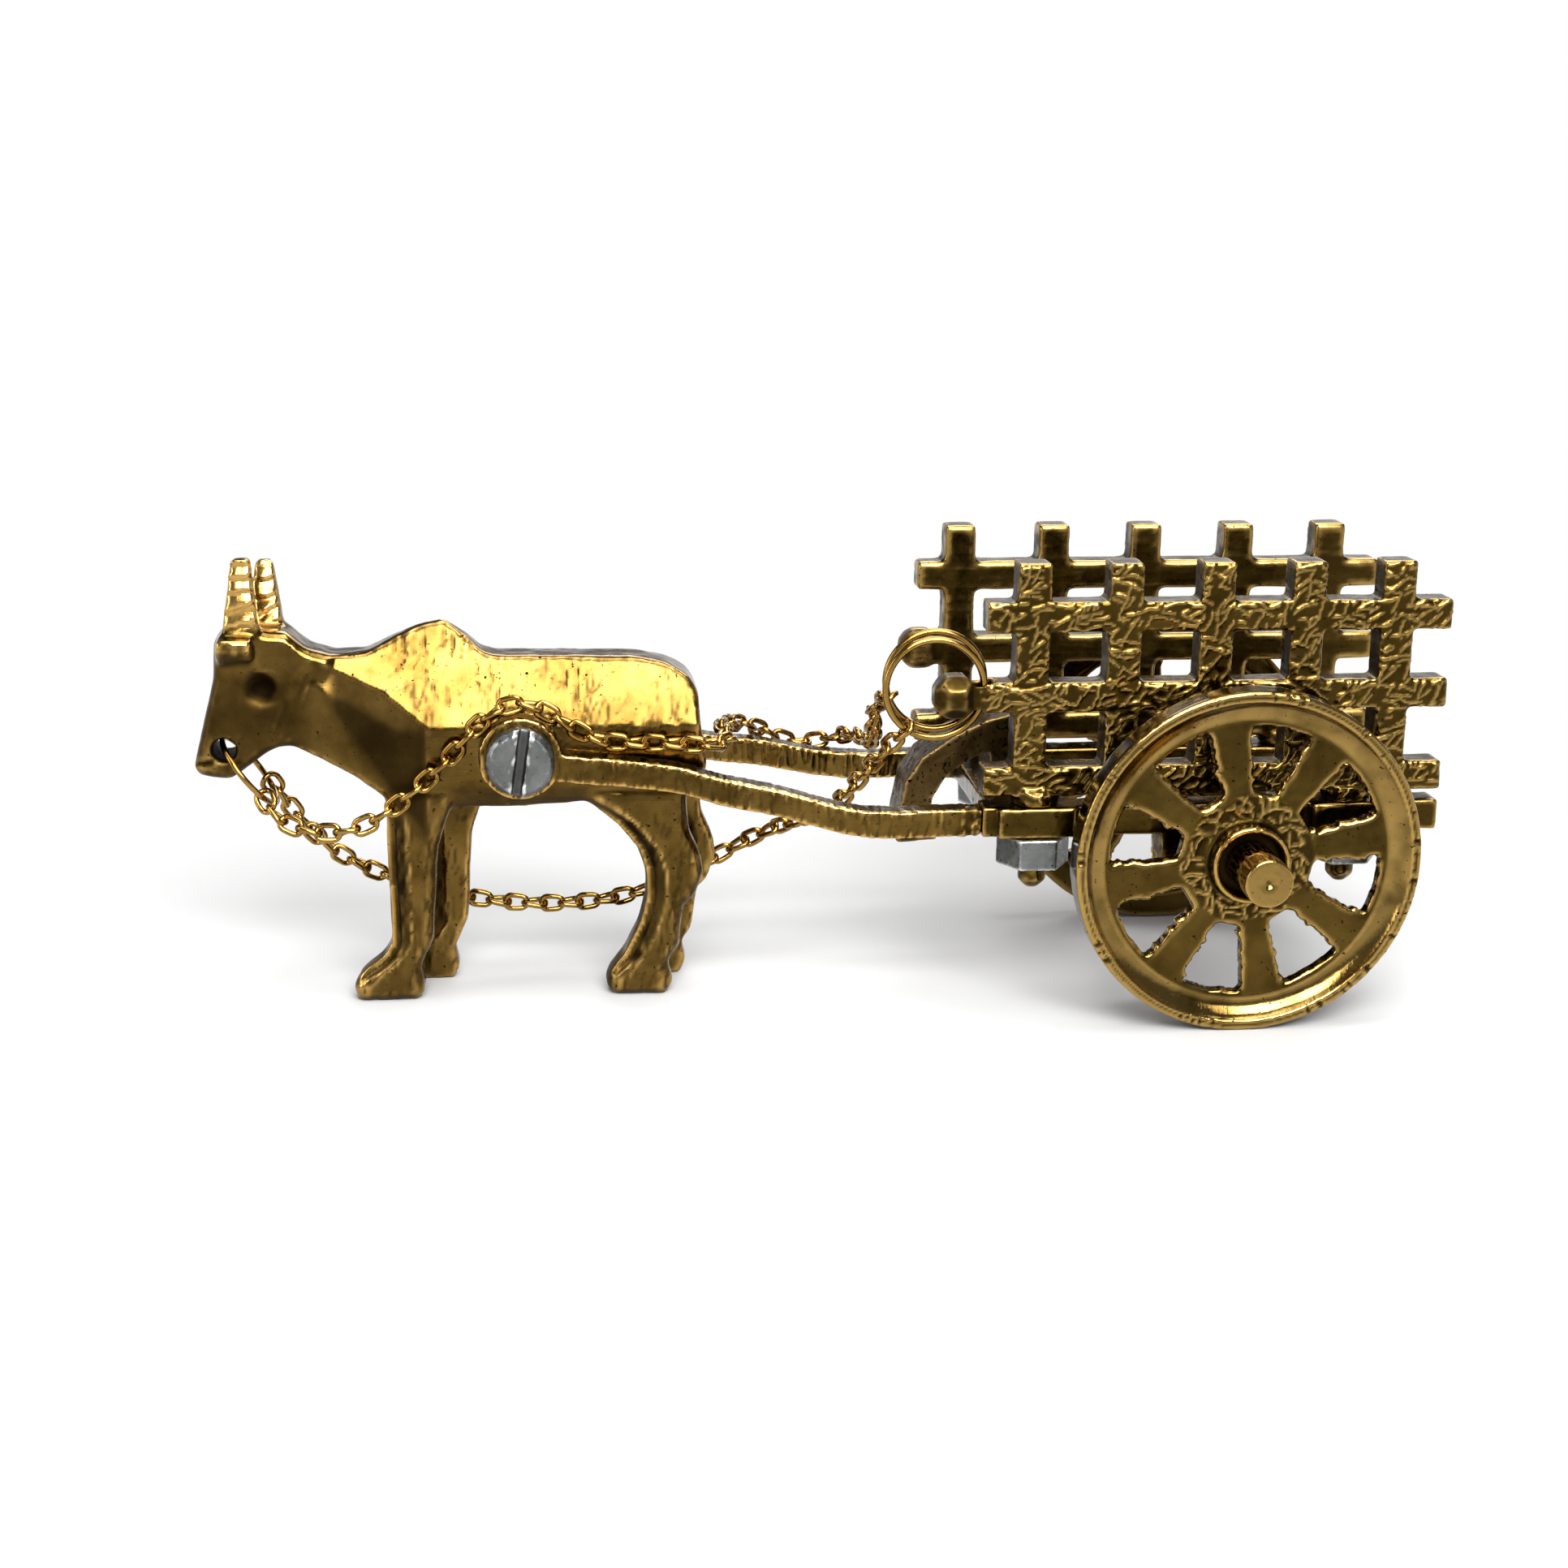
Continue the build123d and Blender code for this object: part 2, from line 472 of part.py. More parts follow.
def rein(points, first_normal, last_normal):
    """Links from ring to ring; the two normals follow the ring wires that the end links hold."""
    route = Spline(*points)
    count = round(route.length / LINK_PITCH) + 1
    pitch = route.length / (count - 1)
    frames = []
    normal = Vector(*first_normal)
    for k in range(count):
        along = route.tangent_at(k * pitch, position_mode=PositionMode.LENGTH)
        normal = (normal - along * normal.dot(along)).normalized()
        frames.append((route.position_at(k * pitch, position_mode=PositionMode.LENGTH), along, normal))
    wanted = Vector(*last_normal)
    along, normal = frames[-1][1:]
    twist = math.degrees(math.atan2(wanted.dot(along.cross(normal)), wanted.dot(normal))) - (count - 1) * 90
    twist = (twist + 90) % 180 - 90
    links = []
    for k, (at, along, normal) in enumerate(frames):
        turn = math.radians(k * (90 + twist / (count - 1)))
        facing = normal * math.cos(turn) + along.cross(normal) * math.sin(turn)
        width = END_LINK_WIDTH if k in (0, count - 1) else LINK_WIDTH
        links.append(Plane(origin=at, x_dir=along, z_dir=facing) * link(width))
    print("links", count, "pitch", round(pitch, 3), "twist", round(twist, 1))
    return Compound(children=links)


save("rein_left", rein(LEFT_REIN, (0.47, 0.64, -0.6), (0.4, 0.02, -0.92)))
save("rein_right", rein(RIGHT_REIN, (0.47, -0.64, -0.6), (0.82, 0.0, -0.57)))
print("built")
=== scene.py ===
import math

import bmesh
import bpy
import numpy as np
from mathutils import Matrix, Vector


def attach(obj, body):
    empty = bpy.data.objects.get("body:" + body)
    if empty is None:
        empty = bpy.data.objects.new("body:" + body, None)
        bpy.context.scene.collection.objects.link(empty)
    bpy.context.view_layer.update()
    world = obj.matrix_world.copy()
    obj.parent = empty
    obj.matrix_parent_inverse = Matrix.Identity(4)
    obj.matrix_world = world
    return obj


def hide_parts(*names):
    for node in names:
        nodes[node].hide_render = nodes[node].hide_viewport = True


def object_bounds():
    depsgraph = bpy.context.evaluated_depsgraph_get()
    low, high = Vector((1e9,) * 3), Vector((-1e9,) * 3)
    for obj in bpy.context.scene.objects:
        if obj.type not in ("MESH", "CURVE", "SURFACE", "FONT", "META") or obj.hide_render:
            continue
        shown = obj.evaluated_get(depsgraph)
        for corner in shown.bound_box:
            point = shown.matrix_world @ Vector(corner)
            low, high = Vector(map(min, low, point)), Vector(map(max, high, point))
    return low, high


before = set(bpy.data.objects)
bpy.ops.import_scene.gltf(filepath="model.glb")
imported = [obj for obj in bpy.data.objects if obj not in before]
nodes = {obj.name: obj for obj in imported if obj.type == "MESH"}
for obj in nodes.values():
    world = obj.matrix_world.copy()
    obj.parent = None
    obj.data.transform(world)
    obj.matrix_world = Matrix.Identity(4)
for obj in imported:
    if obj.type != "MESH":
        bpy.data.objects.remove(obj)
cad_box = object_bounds()

# Sizes and places are in millimetres, with x from the muzzle, unless a comment says otherwise. The packed
# part has its origin at mid-length.
MM = 0.001
ORIGIN = np.array((round(-cad_box[0][0] / MM, 3), 0.0, 0.0))
WHEEL_R = 16.7
AXLE = np.array((99.6, WHEEL_R))
AXLE_END = round(cad_box[1][1] / MM, 3)
# Points closer than this are one, in metres
WELD = 1e-6


# Materials

# Noise scales, per millimetre
CLOUD_SCALE = 0.2
FINE_SCALE = 1.7
PIT_SCALE = 2.3
# How the scratches' noise is stretched along x, y and z
FILED = (0.25, 0.25, 5.0)
TURNED = (3.0, 0.3, 0.4)
FILED_DEPTH = 0.015
TURNED_DEPTH = 0.03
FINE_DEPTH = 0.03
# Dirt and painted shade share this dark colour and roughness
SOIL_AND_SHADE = (0.006, 0.0035, 0.0012)
SOIL_AND_SHADE_ROUGHNESS = (0.65, 0.65, 0.65)
# Rubbed metal and painted highlights are the light colour times a gain, plus a lift
WEAR_AND_HIGHLIGHT_GAIN = 4.2
WEAR_AND_HIGHLIGHT_LIFT = 0.025


def new_material(name):
    material = bpy.data.materials.new(name)
    material.use_nodes = True
    tree = material.node_tree
    tree.nodes.clear()
    out = tree.nodes.new("ShaderNodeOutputMaterial")
    shader = tree.nodes.new("ShaderNodeBsdfPrincipled")
    tree.links.new(shader.outputs["BSDF"], out.inputs["Surface"])
    return material, tree, shader


def coordinates(tree, scale):
    """Object coordinates in units of 1 mm, stretched by scale."""
    source = tree.nodes.new("ShaderNodeTexCoord")
    mapping = tree.nodes.new("ShaderNodeMapping")
    mapping.inputs["Scale"].default_value = [s / MM for s in scale]
    tree.links.new(source.outputs["Object"], mapping.inputs["Vector"])
    return mapping.outputs["Vector"]


def noise(tree, vector, scale, detail, roughness):
    node = tree.nodes.new("ShaderNodeTexNoise")
    node.inputs["Scale"].default_value = scale
    node.inputs["Detail"].default_value = detail
    node.inputs["Roughness"].default_value = roughness
    tree.links.new(vector, node.inputs["Vector"])
    return node.outputs["Fac"]


def ramp(tree, fac, stops):
    """Grey ramp from (position, value) pairs."""
    node = tree.nodes.new("ShaderNodeValToRGB")
    for element, (position, value) in zip(node.color_ramp.elements, stops):
        element.position = position
        element.color = (value, value, value, 1)
    tree.links.new(fac, node.inputs["Fac"])
    return node.outputs["Color"]


def mixed(tree, fac, a, b):
    """Colour a where fac is 0 and b where it is 1; each colour is a tuple or a socket."""
    node = tree.nodes.new("ShaderNodeMix")
    node.data_type = "RGBA"
    tree.links.new(fac, node.inputs["Factor"])
    for socket, value in ((node.inputs[6], a), (node.inputs[7], b)):
        if isinstance(value, tuple):
            socket.default_value = (*value, 1)
        else:
            tree.links.new(value, socket)
    return node.outputs[2]


def attribute(tree, name):
    node = tree.nodes.new("ShaderNodeAttribute")
    node.attribute_name = name
    return node.outputs["Fac"]


def bump(tree, height, strength, depth, normal=None):
    node = tree.nodes.new("ShaderNodeBump")
    node.inputs["Strength"].default_value = strength
    node.inputs["Distance"].default_value = depth * MM
    tree.links.new(height, node.inputs["Height"])
    if normal is not None:
        tree.links.new(normal, node.inputs["Normal"])
    return node.outputs["Normal"]


def metal(name, light, dark, soil_and_shade_tone, rough, scratch=FILED, scratch_depth=FILED_DEPTH, pits=0.66):
    """Metal with clouded colour, file scratches and small pits, darkened for dirt in hollows and for
    painted shade, and brightened for worn edges and painted highlights.
    """
    material, tree, shader = new_material(name)
    plain = coordinates(tree, (1, 1, 1))
    clouds = ramp(tree, noise(tree, plain, CLOUD_SCALE, 5, 0.6), [(0.35, 0.0), (0.65, 1.0)])
    fine = noise(tree, plain, FINE_SCALE, 6, 0.65)
    colour = mixed(tree, clouds, dark, light)
    worn_and_highlit = tuple(WEAR_AND_HIGHLIGHT_GAIN * c + WEAR_AND_HIGHLIGHT_LIFT for c in light)
    colour = mixed(tree, attribute(tree, "wear_and_highlight"), colour, worn_and_highlit)
    pit_mask = ramp(tree, noise(tree, plain, PIT_SCALE, 3, 0.55), [(pits, 0.0), (pits + 0.05, 1.0)])
    soil_and_shade = tree.nodes.new("ShaderNodeMath")
    soil_and_shade.operation = "MAXIMUM"
    tree.links.new(attribute(tree, "soil_and_shade"), soil_and_shade.inputs[0])
    tree.links.new(pit_mask, soil_and_shade.inputs[1])
    colour = mixed(tree, soil_and_shade.outputs[0], colour, soil_and_shade_tone)
    tree.links.new(colour, shader.inputs["Base Color"])
    lines = noise(tree, coordinates(tree, scratch), 1.0, 5, 0.7)
    roughness = ramp(tree, fine, [(0.3, rough * 0.7), (0.7, rough * 1.4)])
    roughness = mixed(tree, soil_and_shade.outputs[0], roughness, SOIL_AND_SHADE_ROUGHNESS)
    tree.links.new(roughness, shader.inputs["Roughness"])
    shader.inputs["Metallic"].default_value = 1.0
    normal = bump(tree, lines, 0.5, scratch_depth)
    normal = bump(tree, fine, 0.3, FINE_DEPTH, normal)
    tree.links.new(normal, shader.inputs["Normal"])
    return material


polished = metal("polished_brass", (0.135, 0.080, 0.019), (0.062, 0.035, 0.007), SOIL_AND_SHADE, 0.15)
chased = metal("chased_brass", (0.070, 0.042, 0.008), (0.037, 0.022, 0.004), SOIL_AND_SHADE, 0.20)
turned = metal(
    "turned_brass", (0.085, 0.052, 0.011), (0.042, 0.025, 0.005), SOIL_AND_SHADE, 0.11, TURNED, TURNED_DEPTH)
bright = metal(
    "bright_wire", (0.36, 0.21, 0.05), (0.20, 0.11, 0.022), (0.05, 0.03, 0.01), 0.14, pits=0.8)
as_cast = metal("as_cast_brass", (0.10, 0.064, 0.022), (0.045, 0.028, 0.009), SOIL_AND_SHADE, 0.40, pits=0.58)
zinc = metal("zinc_plate", (0.165, 0.17, 0.165), (0.095, 0.10, 0.097), (0.02, 0.018, 0.016), 0.30)


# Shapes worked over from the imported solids

# Large odd numbers that mix a cell's place and the seed into a repeatable value
CELL_MIX = (374761393, 668265263, 1440662683)
SEED_MIX = 974634599
LAST_MIX = 1274126177
WORD = 0xFFFFFFFF
GRAIN_LAYERS = 3
HOLLOW_ROUNDS = 4


def lattice(cells, seed):
    """A repeatable value from 0 to 1 for each whole-number cell."""
    mix = ((cells.astype(np.int64) * CELL_MIX).sum(axis=1) + seed * SEED_MIX) & WORD
    mix = ((mix ^ (mix >> 13)) * LAST_MIX) & WORD
    return ((mix ^ (mix >> 16)) & 0xFFFF) / 0xFFFF


def grain(points, seed):
    """Smooth noise from -1 to 1 with cells of size 1."""
    cells = np.floor(points)
    share = points - cells
    share = share * share * (3 - 2 * share)
    total = np.zeros(len(points))
    for corner in np.ndindex(2, 2, 2):
        weight = np.prod(np.where(np.array(corner) == 1, share, 1 - share), axis=1)
        total += weight * lattice(cells + np.array(corner), seed)
    return 2 * total - 1


def rough_grain(points, seed):
    """Layers of grain, each half as large and half as strong as the one before."""
    layers = [grain(points * 2.0 ** k, seed + k) / 2.0 ** k for k in range(GRAIN_LAYERS)]
    return sum(layers) / sum(0.5 ** k for k in range(GRAIN_LAYERS))


def step(value, low, high):
    """0 below low, 1 above high, smooth between."""
    share = np.clip((value - low) / (high - low), 0, 1)
    return share * share * (3 - 2 * share)


def below(value, limit, fade):
    """1 where value is less than limit by fade or more, 0 past limit, smooth between."""
    return step(limit - value, 0, fade)


def gauss(distance, radius):
    return np.exp(-(distance / radius) ** 2)


def spot(x, z, middle, halves):
    """A soft oval: 1 at its middle, fading over its half width and half height."""
    return gauss(np.hypot((x - middle[0]) / halves[0], (z - middle[1]) / halves[1]), 1.0)


def line(along, start, slope):
    """Height of a straight line at each place along it."""
    return start[1] + slope * (along - start[0])


def scatter(low, high, cell, angle, spread, lengths, seed):
    """Rows of middle, angle, length and curve for strokes(), one in each cell of a rectangle."""
    maker = np.random.default_rng(seed)
    counts = np.maximum(((np.array(high) - low) / cell).astype(int), 1)
    spots = np.indices(counts).reshape(2, -1).T
    middles = low + (spots + maker.uniform(0, 1, spots.shape)) * cell
    angles = angle + maker.uniform(-spread, spread, len(spots))
    stroke_lengths = maker.uniform(*lengths, len(spots))
    curves = maker.uniform(-0.5, 0.5, len(spots))
    return np.column_stack((middles, angles, stroke_lengths, curves))


def strokes(u, v, rows, width):
    """Height from 0 to 1 of short curved ridges."""
    total = np.zeros(len(u))
    for middle_u, middle_v, angle, length, curve in rows:
        du, dv = u - middle_u, v - middle_v
        near = np.flatnonzero(np.abs(du) + np.abs(dv) < length)
        du, dv = du[near], dv[near]
        along = du * math.cos(angle) + dv * math.sin(angle)
        aside = dv * math.cos(angle) - du * math.sin(angle) - curve * along ** 2 / 2
        ridge = gauss(aside, width) * below(np.abs(along), length / 2, 0.3)
        total[near] = np.maximum(total[near], ridge)
    return total


def show(name, mesh, material, node):
    """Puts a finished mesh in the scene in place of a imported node."""
    mesh.materials.clear()
    mesh.materials.append(material)
    mesh.polygons.foreach_set("use_smooth", np.ones(len(mesh.polygons), dtype=bool))
    piece = bpy.data.objects.new(name, mesh)
    bpy.context.scene.collection.objects.link(piece)
    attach(piece, node if node.startswith("wheel") else "cart")
    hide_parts(node)
    return piece


class Work:
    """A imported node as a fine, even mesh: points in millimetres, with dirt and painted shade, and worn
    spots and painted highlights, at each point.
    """

    def __init__(self, node, voxel):
        mesh = nodes[node].data.copy()
        welded = bmesh.new()
        welded.from_mesh(mesh)
        bmesh.ops.remove_doubles(welded, verts=welded.verts, dist=WELD)
        welded.to_mesh(mesh)
        welded.free()
        rough = bpy.data.objects.new("rough", mesh)
        bpy.context.scene.collection.objects.link(rough)
        modifier = rough.modifiers.new("remesh", "REMESH")
        modifier.mode = "VOXEL"
        modifier.voxel_size = voxel * MM
        graph = bpy.context.evaluated_depsgraph_get()
        self.mesh = bpy.data.meshes.new_from_object(rough.evaluated_get(graph))
        bpy.data.objects.remove(rough)
        bpy.data.meshes.remove(mesh)
        self.node = node
        count = len(self.mesh.vertices)
        flat = np.empty(3 * count)
        self.mesh.vertices.foreach_get("co", flat)
        self.points = flat.reshape(-1, 3) / MM + ORIGIN
        ends = np.empty(2 * len(self.mesh.edges), dtype=np.int64)
        self.mesh.edges.foreach_get("vertices", ends)
        self.a, self.b = ends.reshape(-1, 2).T
        self.degree = np.maximum(np.bincount(ends, minlength=count), 1)
        self.soil_and_shade = np.zeros(count)
        self.wear_and_highlight = np.zeros(count)

    def around(self, values):
        """The mean of each point's neighbours."""
        both = np.zeros_like(values)
        for target, source in ((self.a, self.b), (self.b, self.a)):
            for k in range(values.shape[1]):
                both[:, k] += np.bincount(target, values[source, k], minlength=len(values))
        return both / self.degree[:, None]

    def smooth(self, rounds, share=0.5):
        """Evens the points; share may be one value or one for each point."""
        share = np.broadcast_to(share, len(self.points))[:, None]
        for _ in range(rounds):
            self.points += share * (self.around(self.points) - self.points)

    def normals(self):
        self.mesh.vertices.foreach_set("co", ((self.points - ORIGIN) * MM).ravel())
        self.mesh.update()
        flat = np.empty(3 * len(self.points))
        self.mesh.vertex_normals.foreach_get("vector", flat)
        return flat.reshape(-1, 3)

    def raise_by(self, height):
        self.points += self.normals() * height[:, None]

    def hollows(self):
        """How far each point lies below (+) or above (-) its surroundings."""
        normals = self.normals()
        wide = self.points.copy()
        for _ in range(HOLLOW_ROUNDS):
            wide = self.around(wide)
        return np.einsum("ij,ij->i", wide - self.points, normals)

    def add_soil_and_shade(self, *layers):
        self.soil_and_shade = np.max((self.soil_and_shade, *layers), axis=0)

    def add_wear_and_highlight(self, *layers):
        self.wear_and_highlight = np.max((self.wear_and_highlight, *layers), axis=0)

    def weather(self, soil_and_shade, wear_and_highlight):
        """Soils the hollows and rubs the edges, each between two depths."""
        depth = self.hollows()
        self.add_soil_and_shade(0.9 * step(depth, *soil_and_shade))
        self.add_wear_and_highlight(step(-depth, *wear_and_highlight))

    def finish(self, material):
        """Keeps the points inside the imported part's box and shows the piece."""
        self.points = np.clip(self.points, *(np.array(cad_box) / MM + ORIGIN))
        self.normals()
        for name, values in (("soil_and_shade", self.soil_and_shade), ("wear_and_highlight", self.wear_and_highlight)):
            layer = self.mesh.attributes.new(name, "FLOAT", "POINT")
            layer.data.foreach_set("value", np.clip(values, 0, 1))
        show(self.node + "_metal", self.mesh, material, self.node)


# Bullock

NOSE_HOLE = (3.0, 25.2)
NOSE_SHADE_R = 1.45
EYE = (6.7, 31.1)
EYE_R = 1.2
# The hollow over the eye, and the painted shade in and under the eye: middle, half width and half height
HOLLOW = (7.0, 31.3)
HOLLOW_HALVES = (2.0, 1.25)
HOLLOW_LEAN = 0.5
HOLLOW_TOP = 33.2
EYE_SHADE = (6.6, 30.9)
EYE_SHADE_HALVES = (2.2, 1.4)
# Lines as a start and a slope: over x for the mouth and shoulder, over z for the cheek
MOUTH = ((1.0, 23.9), 0.12)
CHEEK = ((27, 8.6), 0.446)
SHOULDER_TOP = ((13.2, 33.1), -0.43)
SHOULDER_REAR = ((18.1, 31.0), -0.8)
SHOULDER_FOOT = ((13.4, 28.5), -1.43)
# Limits of these and of the ears, horns, painted shade and darker face; a pair is where one starts and
# where it is in full
MOUTH_END = 2.2
CHEEK_FOOT = (25.4, 27)
CHEEK_TOP = 34
SHOULDER_START = (12.4, 14.0)
SHOULDER_END = 22.4
EAR_START = (3.1, 3.5)
EAR_REAR = 7.0
EAR_MIDDLE = 35.3
HEAD_REAR = 12
FACE_DARK_TOP = 34.0
HORN_FOOT = (36.8, 37.6)
HORN_STEP = 1.45
HORN_STEP_DEPTH = 0.55
HORN_STEP_LEAN = 0.25
# The near legs' front edges, as z and x; the far legs stand further back
FORE_EDGE = ((0, 15.0), (1.4, 14.6), (2.9, 15.4), (4.6, 17.5), (6.0, 18.4), (15.4, 18.2), (21.5, 18.2))
HIND_EDGE = (
    (0, 39.9), (1.2, 39.3), (2.5, 39.7), (4.4, 41.2), (7.6, 42.7), (10.2, 43.3), (12.8, 43.3), (15.1, 42.5),
    (17.7, 40.4), (19.9, 37.6),
)
FAR_FORE_SHIFT = 3.2
FAR_HIND_SHIFT = 1.7
BELLY_MIDDLE = 30
LEG_TOP = 20.5
LEG_SHADE_TOP = 21
HOOF_TOP = 4.5
BEVEL_WIDTH = 2.0
BEVEL_DEPTH = 0.8
BEVEL_FOOT = (1.5, 3.5)
STRIP_FOOT = (2.2, 4.0)
# File strokes, nearly upright: lowest and highest x and z, and angle in radians
FLANK = ((19, 26), (48, 37))
LEGS = ((14, 1), (50, 20))
UPRIGHT = 1.45


def mottled(points):
    return 1 + 0.4 * grain(points * 0.8, seed=4)


def bullock():
    """Filed casting: bevelled legs, a sunk shoulder plane, stepped horns, and painted shade in the eyes and
    nose hole.
    """
    work = Work("bullock", voxel=0.28)
    p = work.points
    x, y, z = p.T
    work.smooth(8)
    work.smooth(16, 0.5 * gauss(np.hypot(x - EYE[0], z - EYE[1]), 2 * EYE_R))
    n = work.normals()
    sides = step(np.abs(n[:, 1]), 0.4, 0.8)
    legs = below(z, LEG_TOP, 3)
    # Uneven casting, and file cuts on the flanks
    height = (0.08 + 0.06 * legs) * rough_grain(p * (0.45, 0.45, 0.22), seed=1)
    height += 0.035 * rough_grain(p * (1.5, 1.5, 0.6), seed=5)
    rows = scatter(*FLANK, cell=(0.9, 2.0), angle=UPRIGHT, spread=0.5, lengths=(2.0, 4.5), seed=10)
    filed = strokes(x, z, rows, width=0.14) * sides
    height -= 0.08 * filed * step(grain(p * 0.25, seed=6), -0.5, 0.3)
    # The legs' front edges filed back to a bevel, and file cuts on the legs
    fore_edge = np.interp(z, *zip(*FORE_EDGE)) + FAR_FORE_SHIFT * (y > 0)
    hind_edge = np.interp(z, *zip(*HIND_EDGE)) + FAR_HIND_SHIFT * (y > 0)
    bevel = BEVEL_WIDTH - (x - np.where(x < BELLY_MIDDLE, fore_edge, hind_edge))
    height -= BEVEL_DEPTH * np.clip(bevel / BEVEL_WIDTH, 0, 1) * sides * legs * step(z, *BEVEL_FOOT)
    rows = scatter(*LEGS, cell=(0.9, 2.2), angle=UPRIGHT, spread=0.3, lengths=(1.5, 4.0), seed=11)
    cuts = strokes(x, z, rows, width=0.13) * sides * legs
    height -= 0.05 * cuts
    # Hollow over the eye, mouth and uneven ears
    hollow = spot(x + HOLLOW_LEAN * (z - EYE[1]), z, HOLLOW, HOLLOW_HALVES)
    hollow *= sides * below(z, HOLLOW_TOP, 0.6) * mottled(p)
    height -= 0.5 * hollow
    height -= 0.30 * gauss(z - line(x, *MOUTH), 0.25) * sides * below(x, MOUTH_END, 0.5)
    ears = step(np.abs(y), *EAR_START) * below(x, EAR_REAR, 0.5)
    height += 0.15 * ears * rough_grain(p * 0.8, seed=8)
    # Crease behind the cheek, and the sunk plane of the shoulder
    crease = gauss(x - line(z, *CHEEK), 0.7) * step(z, *CHEEK_FOOT) * below(z, CHEEK_TOP, 2)
    height -= 0.32 * crease * sides
    under = np.minimum(line(x, *SHOULDER_TOP), line(x, *SHOULDER_REAR)) - z
    shoulder = step(under, -0.1, 0.3) * step(z - line(x, *SHOULDER_FOOT), -1.0, 1.5)
    shoulder *= below(x, SHOULDER_END, 0.5) * step(x, *SHOULDER_START) * sides
    height -= 0.12 * shoulder
    # Cross filing on the horns: shallow steps that lean up to the light
    horns = step(z, *HORN_FOOT) * below(x, HEAD_REAR, 1)
    steps = (z - HORN_STEP_LEAN * x + 0.5 * grain(p * 0.5, seed=7)) / HORN_STEP
    height -= HORN_STEP_DEPTH * (steps % 1 - 0.5) * horns * sides
    work.raise_by(height)
    # Dirt in hollows and cuts; painted shade on the legs' fronts and rears, the undersides, shoulder, eyes,
    # nose hole and ears; a darker lower face; painted highlights on the near horns' faces and the hoof tops
    work.weather(soil_and_shade=(0.03, 0.14), wear_and_highlight=(0.03, 0.12))
    n = work.normals()
    blotch = rough_grain(p * 0.45, seed=30)
    speckle = step(rough_grain(p * (1.3, 1.3, 0.7), seed=28), -0.3, 0.3)
    flecks = step(rough_grain(p * 1.3, seed=29), 0.25, 0.5)
    front_strip = step(bevel, 0.0, 0.4) * step(z, *STRIP_FOOT) * legs
    from_nose_hole = np.hypot(x - NOSE_HOLE[0], z - NOSE_HOLE[1])
    # the horns kept light: most dirt and painted shade taken off them
    work.soil_and_shade *= 1 - 0.75 * horns
    work.add_soil_and_shade(
        # painted shade on forward-facing faces low down, in blotches
        0.85 * step(-n[:, 0], 0.35, 0.7) * step(blotch, -0.6, 0.2) * below(z, LEG_SHADE_TOP, 4),
        # painted shade on the legs' front bevels, speckled
        0.95 * front_strip * sides * (0.55 + 0.45 * speckle),
        # painted shade in flecks on the legs' rear-facing faces
        0.70 * flecks * step(n[:, 0], 0.3, 0.7) * legs,
        # painted shade on downward-facing faces
        0.60 * step(-n[:, 2], 0.2, 0.7),
        0.30 * legs * step(blotch, -0.1, 0.6),
        0.60 * cuts * speckle,
        0.55 * filed * step(blotch, -0.3, 0.4),
        # painted shade on the sunk shoulder plane
        0.80 * shoulder,
        # painted shade in the hollow over the eye
        1.20 * hollow,
        # painted shade in and under the eye
        1.30 * spot(x, z, EYE_SHADE, EYE_SHADE_HALVES) * mottled(p),
        # painted shade in and round the nose hole
        0.95 * below(from_nose_hole, NOSE_SHADE_R, 0.2),
        # painted shade on the ears' lower halves
        0.55 * ears * below(z, EAR_MIDDLE, 0.5),
        # a darker lower face, in blotches
        0.55 * below(z, FACE_DARK_TOP, 3) * below(x, HEAD_REAR, 2) * step(blotch, -1.2, 0.4),
    )
    # painted highlights: the hooves' upward faces and the near horns' camera-side faces are brightened
    hoof_tops = legs * step(n[:, 2], 0.25, 0.6) * below(z, HOOF_TOP, 1.0)
    near_horns = horns * step(-n[:, 1], 0.2, 0.7) * step(blotch, -0.9, -0.1)
    work.add_wear_and_highlight(near_horns, 0.5 * hoof_tops)
    work.finish(polished)


# Shafts, and the screws that hold them

SHAFT = ((27, 15), (75, 30))
SHAFT_ROUGH_END = (72.6, 74.0)
# The screws' slots as a line over z
SCREW_SLOT = ((25.1, 31.2), 0.14)
SCREW_SLOT_EDGE = 0.75
SCREW_HEAD_Y = (7.0, 7.8)
# Plated nodes and their meshes' cell sizes
PLATED = (("screw_left", 0.13), ("screw_right", 0.16), ("nuts_left", 0.15), ("nuts_right", 0.2))


def shafts():
    """Filed across, and rough where they meet the cart."""
    for node in ("shaft_left", "shaft_right"):
        work = Work(node, voxel=0.2)
        work.smooth(4)
        p = work.points
        x, _, z = p.T
        rough_end = step(x, *SHAFT_ROUGH_END)
        height = 0.06 * rough_grain(p * (2.6, 0.5, 0.35), seed=11) + 0.05 * rough_grain(p * 0.5, seed=12)
        rows = scatter(*SHAFT, cell=(0.8, 2.0), angle=1.5, spread=0.2, lengths=(1.2, 3.0), seed=15)
        cuts = strokes(x, z, rows, width=0.12)
        height -= 0.05 * cuts
        height += 0.22 * rough_end * rough_grain(p * 1.6, seed=13)
        work.raise_by(height)
        work.weather(soil_and_shade=(0.02, 0.08), wear_and_highlight=(0.02, 0.07))
        dirt = step(rough_grain(p * 1.2, seed=14), -0.3, 0.3)
        work.add_soil_and_shade(0.8 * rough_end * dirt, 0.55 * cuts * dirt)
        work.finish(polished)


